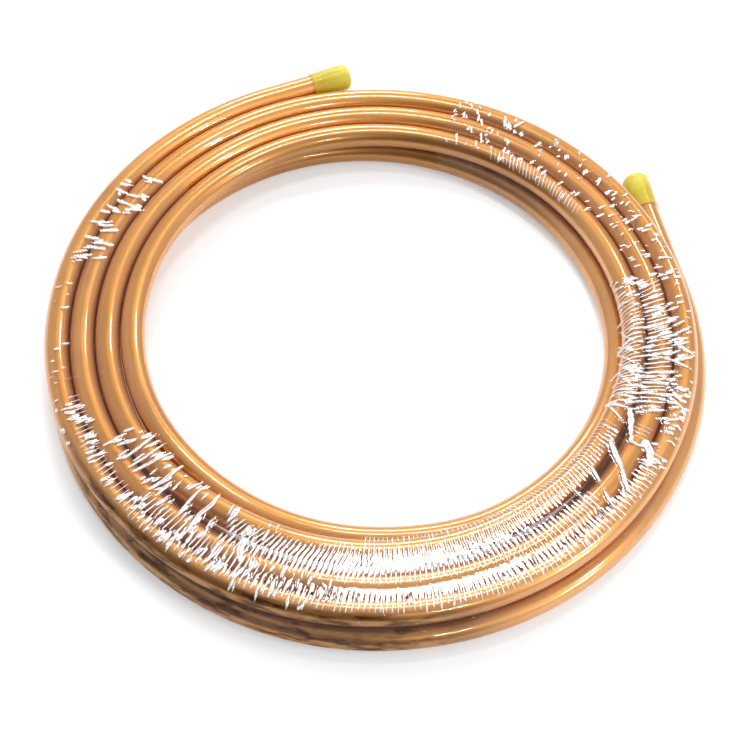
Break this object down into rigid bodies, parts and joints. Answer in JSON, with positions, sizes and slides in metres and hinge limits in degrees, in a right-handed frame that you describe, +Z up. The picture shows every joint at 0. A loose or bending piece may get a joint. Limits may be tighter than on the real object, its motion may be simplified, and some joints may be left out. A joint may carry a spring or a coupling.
{
  "type": "copper tube coil",
  "caption": "Soft copper tube wound in a flat two-layer coil, with capped ends and a clear film wrap.",
  "frame": {"origin": "on the floor the coil lies on, on the axis of the winding, which is the middle of the eye", "axes": "+Z up along the axis of the winding, -Y towards the front of the picture"},
  "size_m": [0.3415, 0.351, 0.0271],
  "materials": {
    "copper": "drawn, bright",
    "cap_vinyl": "soft vinyl, slightly clear",
    "clear_film": "thin clear stretch film"
  },
  "bodies": {
    "root": {"copper_tube": "copper", "cap_upper_end": "cap_vinyl", "cap_lower_end": "cap_vinyl", "film_wrap": "clear_film"}
  },
  "joints": []
}
